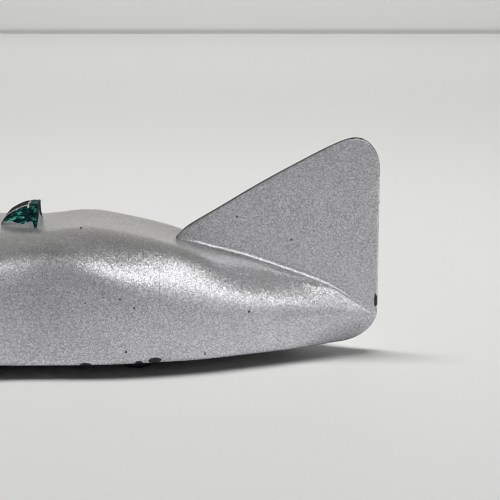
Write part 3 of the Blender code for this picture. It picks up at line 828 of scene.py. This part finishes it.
def silver_paint():
    """Metallic enamel: aluminium flakes that each tilt a little their own way, with worn spots, a painted
    reflection tint on upward faces and painted shade along the fin's top edge.
    """
    n = Nodes("silver_paint")
    place = n.position()
    flakes = n.new("ShaderNodeTexVoronoi", feature="F1")
    flakes.inputs["Scale"].default_value = 4.0
    n.link(place, flakes.inputs["Vector"])
    centred = n.new("ShaderNodeVectorMath", operation="SUBTRACT")
    n.link(flakes.outputs["Color"], centred.inputs[0])
    centred.inputs[1].default_value = (0.5, 0.5, 0.5)
    tilt = n.new("ShaderNodeVectorMath", operation="SCALE")
    tilt.inputs["Scale"].default_value = 0.14
    n.link(centred.outputs[0], tilt.inputs[0])
    geometry = n.new("ShaderNodeNewGeometry")
    total = n.new("ShaderNodeVectorMath", operation="ADD")
    n.link(geometry.outputs["Normal"], total.inputs[0])
    n.link(tilt.outputs[0], total.inputs[1])
    unit = n.new("ShaderNodeVectorMath", operation="NORMALIZE")
    n.link(total.outputs[0], unit.inputs[0])
    n.link(unit.outputs[0], n.shader.inputs["Normal"])
    grain = n.new("ShaderNodeTexVoronoi", feature="F1")
    grain.inputs["Scale"].default_value = 5.0
    n.link(place, grain.inputs["Vector"])
    split = n.new("ShaderNodeSeparateXYZ")
    n.link(grain.outputs["Color"], split.inputs[0])
    mottle = n.noise(place, 0.16, detail=3.0)
    shade = n.math("ADD", n.math("MULTIPLY", split.outputs[0], 0.8), n.math("MULTIPLY", mottle, 0.2))
    enamel = n.mix_colour(shade, (0.36, 0.36, 0.385), (0.86, 0.86, 0.90))
    sparkle = n.math("GREATER_THAN", split.outputs[1], 0.93)
    enamel = n.mix_colour(n.math("MULTIPLY", sparkle, 0.6), enamel, (1.0, 1.0, 1.0))

    where = n.new("ShaderNodeSeparateXYZ")
    n.link(place, where.inputs[0])
    x, y, z = where.outputs
    facing = n.new("ShaderNodeSeparateXYZ")
    n.link(geometry.outputs["Normal"], facing.inputs[0])
    # Painted reflection: faces that look upward are tinted towards the warm backdrop they would mirror.
    upward_painted_reflection = n.math("MULTIPLY_ADD", facing.outputs[2], 2.2, -0.9, clamp=True)
    enamel = n.mix_colour(n.math("MULTIPLY", upward_painted_reflection, 0.5), enamel, (0.62, 0.61, 0.55))

    # Painted shade: the fin's top edge, where its faces turn upward rather than sideways, is darkened.
    sideways = n.math("ABSOLUTE", facing.outputs[1])
    crest = n.math("LESS_THAN", n.math("ABSOLUTE", y), 0.62)
    crest = n.math("MULTIPLY", n.math("LESS_THAN", sideways, 0.75), crest)
    crest = n.math("MULTIPLY", crest, n.math("GREATER_THAN", n.math("MULTIPLY_ADD", x, -0.35, z), 14.5))
    crest = n.math("MULTIPLY", crest, n.math("GREATER_THAN", x, 24.0))
    enamel = n.mix_colour(n.math("MULTIPLY", crest, 0.75), enamel, (0.10, 0.10, 0.10))

    seam = n.math("LESS_THAN", n.math("ABSOLUTE", n.math("SUBTRACT", x, 19.6)), 0.07)
    seam = n.math("MULTIPLY", seam, n.math("GREATER_THAN", z, 13.5))
    seam = n.math("MULTIPLY", seam, n.math("LESS_THAN", z, 22.6))
    enamel = n.mix_colour(n.math("MULTIPLY", seam, 0.35), enamel, (0.12, 0.12, 0.13))

    depth = n.math("SUBTRACT", z, 2.42)
    reach = n.math("MULTIPLY_ADD", n.noise(place, 0.9, detail=4.0, roughness=0.65), 3.4, -2.0)
    worn = n.math("LESS_THAN", depth, reach)
    bare = n.math("MAXIMUM", worn, spots_mask(n, place, CHIPS))
    bare = n.math("MAXIMUM", bare, spots_mask(n, place, PIN_DOTS, ragged=0.2))
    n.link(n.mix_colour(bare, enamel, (0.03, 0.03, 0.032)), n.shader.inputs["Base Color"])
    n.link(n.math("MULTIPLY_ADD", bare, -0.75, 0.85), n.shader.inputs["Metallic"])
    n.link(n.math("MULTIPLY_ADD", bare, 0.25, 0.38), n.shader.inputs["Roughness"])
    return n.material


def green_enamel():
    """Glossy green enamel, thin over bright metal in strokes that also serve as painted glints, with painted
    shade on upward faces, a matt black pane and worn edges.
    """
    n = Nodes("green_enamel")
    place = n.position()
    where = n.new("ShaderNodeSeparateXYZ")
    n.link(place, where.inputs[0])
    x, y, z = where.outputs
    half = n.math("ABSOLUTE", y)
    crease_half = SCREEN_PANE_HALF + SCREEN_PANE_TAPER * SCREEN_CREASE_X
    edge = n.math("MULTIPLY_ADD", x, -SCREEN_PANE_TAPER, crease_half)
    rough = n.math("SUBTRACT", n.noise(place, 1.5, detail=3.0), 0.5)
    ahead = n.math("LESS_THAN", n.math("ADD", x, n.math("MULTIPLY", rough, 0.5)), SCREEN_CREASE_X - 0.1)
    pane = n.math("MULTIPLY", ahead, n.math("LESS_THAN", half, n.math("ADD", edge, 0.06)))
    geometry = n.new("ShaderNodeNewGeometry")
    facing = n.new("ShaderNodeSeparateXYZ")
    n.link(geometry.outputs["Normal"], facing.inputs[0])
    beyond = n.math("SUBTRACT", half, edge)
    line = n.math("MULTIPLY", n.math("GREATER_THAN", beyond, -0.02), n.math("LESS_THAN", beyond, 0.3))
    line = n.math("MULTIPLY", line, n.math("GREATER_THAN", facing.outputs[2], 0.42))
    crease = n.math("ADD", x, n.math("MULTIPLY", rough, 0.7))
    crease = n.math("ABSOLUTE", n.math("SUBTRACT", crease, SCREEN_CREASE_X))
    crease = n.math("MULTIPLY", n.math("LESS_THAN", crease, 0.14), n.math("GREATER_THAN", z, 30.3))
    wear = n.math("MAXIMUM", n.math("MULTIPLY", ahead, line), crease)

    # Bright teal streaks: partly thin enamel over bright metal, partly painted glints.
    streak = n.new("ShaderNodeVectorMath", operation="MULTIPLY")
    streak.inputs[1].default_value = (0.6, 1.0, 1.2)
    n.link(place, streak.inputs[0])
    depth = n.noise(streak.outputs[0], 1.2, detail=4.0, roughness=0.6)
    thin = n.math("MULTIPLY_ADD", depth, 8.0, -4.2, clamp=True)
    # Painted shade: faces that look upward are darkened, and also made duller below.
    flat = n.math("MULTIPLY", n.math("GREATER_THAN", facing.outputs[2], 0.8), 0.85)
    rear = n.math("GREATER_THAN", facing.outputs[0], 0.6)
    thin = n.math("MULTIPLY", thin, n.math("SUBTRACT", 1.0, rear))
    colour = n.mix_colour(thin, (0.004, 0.035, 0.033), (0.12, 0.62, 0.53))
    colour = n.mix_colour(n.math("MULTIPLY", flat, 0.8), colour, (0.004, 0.02, 0.02))
    colour = n.mix_colour(pane, colour, (0.006, 0.006, 0.007))
    colour = n.mix_colour(wear, colour, (0.82, 0.82, 0.80))
    n.link(colour, n.shader.inputs["Base Color"])
    dull = n.math("MAXIMUM", n.math("MAXIMUM", pane, flat), rear)
    dull = n.math("MULTIPLY", dull, n.math("SUBTRACT", 1.0, wear))
    n.link(n.math("MULTIPLY_ADD", dull, -0.8, 0.8), n.shader.inputs["Metallic"])
    n.link(n.math("MULTIPLY_ADD", dull, 0.5, 0.22), n.shader.inputs["Roughness"])
    fine_bump(n, n.noise(place, 1.2, detail=3.0, roughness=0.55), 1.0, 0.0007)
    n.shader.inputs["Specular IOR Level"].default_value = 0.3
    return n.material


def black_tin():
    """Black enamelled tin with scuffs and dust."""
    n = Nodes("black_tin")
    place = n.position()
    scuff = n.math("MULTIPLY_ADD", n.noise(place, 0.35, detail=6.0, roughness=0.7), 7.0, -4.3, clamp=True)
    colour = n.mix_colour(n.noise(place, 0.12, detail=3.0), (0.008, 0.008, 0.009), (0.022, 0.021, 0.02))
    colour = n.mix_colour(n.math("MULTIPLY", scuff, 0.6), colour, (0.16, 0.155, 0.15))
    n.link(colour, n.shader.inputs["Base Color"])
    n.link(n.math("MULTIPLY_ADD", scuff, 0.35, 0.42), n.shader.inputs["Roughness"])
    fine_bump(n, n.noise(place, 2.0, detail=3.0), 0.25, 0.0001)
    return n.material


def axle_steel():
    """Drawn steel wire with spots of rust."""
    n = Nodes("axle_steel")
    place = n.position()
    rust = n.math("MULTIPLY_ADD", n.noise(place, 0.8, detail=5.0, roughness=0.7), 6.0, -3.5, clamp=True)
    colour = n.mix_colour(rust, (0.46, 0.45, 0.43), (0.16, 0.085, 0.045))
    n.link(colour, n.shader.inputs["Base Color"])
    n.link(n.math("MULTIPLY_ADD", rust, -0.7, 1.0), n.shader.inputs["Metallic"])
    n.link(n.math("MULTIPLY_ADD", rust, 0.4, 0.3), n.shader.inputs["Roughness"])
    fine_bump(n, n.noise(place, 3.0, detail=3.0), 0.2, 0.0001)
    return n.material


def hub_zinc():
    """Dull cast zinc with a grey bloom."""
    n = Nodes("hub_zinc")
    place = n.position()
    bloom = n.noise(place, 0.7, detail=5.0, roughness=0.65)
    n.link(n.mix_colour(bloom, (0.30, 0.30, 0.31), (0.52, 0.52, 0.53)), n.shader.inputs["Base Color"])
    n.link(n.math("MULTIPLY_ADD", bloom, 0.35, 0.3), n.shader.inputs["Roughness"])
    fine_bump(n, n.noise(place, 2.2, detail=4.0), 0.4, 0.0002)
    n.set(Metallic=0.9)
    return n.material


def black_rubber():
    """Matt aged rubber, a little dusty."""
    n = Nodes("black_rubber")
    place = n.position()
    dust = n.math("MULTIPLY_ADD", n.noise(place, 0.4, detail=5.0, roughness=0.7), 2.2, -0.8, clamp=True)
    n.link(n.mix_colour(dust, (0.016, 0.016, 0.016), (0.06, 0.058, 0.054)), n.shader.inputs["Base Color"])
    n.link(n.math("MULTIPLY_ADD", dust, 0.2, 0.65), n.shader.inputs["Roughness"])
    fine_bump(n, n.noise(place, 3.5, detail=4.0), 0.35, 0.0001)
    return n.material


# ---------------------------------------------------------------- stage, lights and camera
def make_stage():
    """A white floor and backdrop, with a faint grey strip of painted shade where they meet."""
    back_y, front_y, half, top, lean = 0.592, -1.6, 2.2, 1.6, 0.02
    shade_line_y, shade_line_top = back_y - 0.001, 0.0018
    sheets = [
        ("floor", (0.85, 0.85, 0.835, 1.0), (front_y, 0.0), (back_y, 0.0)),
        ("backdrop", (0.95, 0.95, 0.935, 1.0), (back_y, 0.0), (back_y + lean, top)),
        # Painted shade: a thin grey strip stands for the shade where the floor paper turns up into the
        # backdrop.
        ("fold", (0.66, 0.66, 0.64, 1.0), (shade_line_y, 0.0), (shade_line_y, shade_line_top)),
    ]
    for name, colour, (near_y, near_z), (far_y, far_z) in sheets:
        n = Nodes("studio_" + name)
        n.set(Base_Color=colour, Roughness=0.55)
        bm = bmesh.new()
        near = [(-half, near_y, near_z), (half, near_y, near_z)]
        far = [(half, far_y, far_z), (-half, far_y, far_z)]
        bm.faces.new([bm.verts.new(c) for c in near + far])
        mesh = bpy.data.meshes.new(name)
        bm.to_mesh(mesh)
        bm.free()
        mesh.materials.append(n.material)
        sheet = bpy.data.objects.new(name, mesh)
        bpy.context.scene.collection.objects.link(sheet)


def direction(azimuth, elevation):
    """A unit vector: azimuth from -Y (0) towards +X (90), elevation above the floor, in degrees."""
    a, e = math.radians(azimuth), math.radians(elevation)
    return Vector((math.sin(a) * math.cos(e), -math.cos(a) * math.cos(e), math.sin(e)))


def area_panel(name, centre, size, facing, power, glossy=True, diffuse=True):
    """A rectangular light at a place in metres, turned to face a point."""
    data = bpy.data.lights.new(name, "AREA")
    data.shape = "RECTANGLE"
    data.size, data.size_y = size
    data.energy = power
    light = bpy.data.objects.new(name, data)
    bpy.context.scene.collection.objects.link(light)
    light.location = centre
    light.rotation_euler = (Vector(facing) - light.location).to_track_quat("-Z", "Y").to_euler()
    light.visible_glossy = glossy
    light.visible_diffuse = diffuse
    return light


def make_lights():
    """A light box: strips and dim panels around the car, some seen only by paint and some only by paper."""
    middle = Vector((0.02, 0.0, 0.01))
    paint, paper = {"diffuse": False}, {"glossy": False}
    for name, azimuth, elevation, size, power, kind in (
        ("front_strip", 180, 84, (0.50, 0.04), 1.45, paper),
        ("back_strip", 180, 80, (0.50, 0.04), 1.6, paper),
        ("gloss_strip", 37, 45, (0.48, 0.04), 0.80, paint),
        ("left_panel", -12, 46, (0.24, 0.06), 0.10, paint),
        ("upper_panel", -55, 76, (0.30, 0.16), 0.06, paint),
        ("tail_panel", 57, 27, (0.14, 0.12), 0.13, paint),
        ("right_panel", 44, 14, (0.36, 0.30), 0.14, paint),
        ("back_glow", 180, 50, (0.70, 0.20), 0.12, paint),
    ):
        centre = middle + direction(azimuth, elevation) * PANEL_DISTANCE
        area_panel(name, centre, size, middle, power, **kind)
    area_panel("ceiling", (0.02, 0.22, 0.62), (0.9, 0.5), (0.02, 0.22, 0.0), 0.34)
    area_panel("back_wash", (0.02, 0.47, 0.22), (1.6, 0.12), (0.02, 0.64, 0.06), 0.47, **paper)
    area_panel("right_wall", (0.40, 0.0, 0.045), (0.2, 0.06), (0.05, 0.0, 0.0), 0.13)
    area_panel("front_flap", (0.0, -0.60, 0.25), (1.3, 0.42), (0.0, 0.0, 0.10), 0.61, **paint)
    world = bpy.data.worlds.new("studio")
    bpy.context.scene.world = world
    world.use_nodes = True
    background = world.node_tree.nodes["Background"]
    background.inputs["Color"].default_value = (0.97, 0.98, 1.0, 1.0)
    background.inputs["Strength"].default_value = 0.02


def make_camera():
    data = bpy.data.cameras.new("camera")
    data.sensor_width = SENSOR_MM
    data.lens = LENS_MM
    data.clip_start = 0.01
    camera = bpy.data.objects.new("camera", data)
    bpy.context.scene.collection.objects.link(camera)
    camera.location = VIEW_TARGET + direction(0, math.degrees(VIEW_ELEVATION)) * VIEW_DISTANCE
    camera.rotation_euler = (math.pi / 2 - VIEW_ELEVATION, 0, 0)
    bpy.context.scene.camera = camera


make_camera()
make_stage()
make_lights()
make_body(silver_paint())
make_screen_paint(green_enamel())
make_plate(black_tin())
steel, zinc, rubber = axle_steel(), hub_zinc(), black_rubber()
for end in ("front", "rear"):
    make_axle(end, steel)
    for side in ("left", "right"):
        make_wheel(end, side, zinc, rubber)
bpy.context.scene.view_settings.view_transform = "Standard"
bpy.context.scene.cycles.filter_width = 1.0
